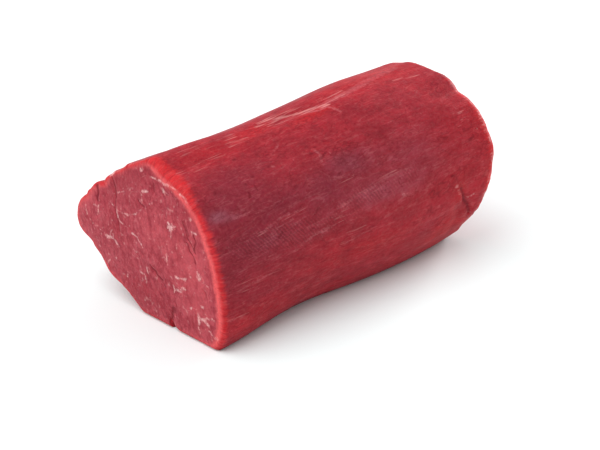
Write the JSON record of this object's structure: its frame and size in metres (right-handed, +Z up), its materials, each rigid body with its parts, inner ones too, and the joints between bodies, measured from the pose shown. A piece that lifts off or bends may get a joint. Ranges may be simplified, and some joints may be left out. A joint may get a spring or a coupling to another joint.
{
  "type": "raw beef tenderloin",
  "caption": "Trimmed raw beef tenderloin, a middle cut lying on its flattened side, with a flat cut face at each end and fibres running along its length.",
  "frame": {"origin": "middle of the flat underside, below the centre of the overall box", "axes": "+X along the fibres from the smaller near cut to the larger far cut, +Y towards the thin tip of the near cut, +Z up"},
  "size_m": [0.1462, 0.1088, 0.0772],
  "materials": {
    "raw_beef": "moist raw muscle, soft gloss, pink-red on the cuts and darker red outside"
  },
  "bodies": {
    "root": {"tenderloin": "raw_beef"}
  },
  "joints": []
}
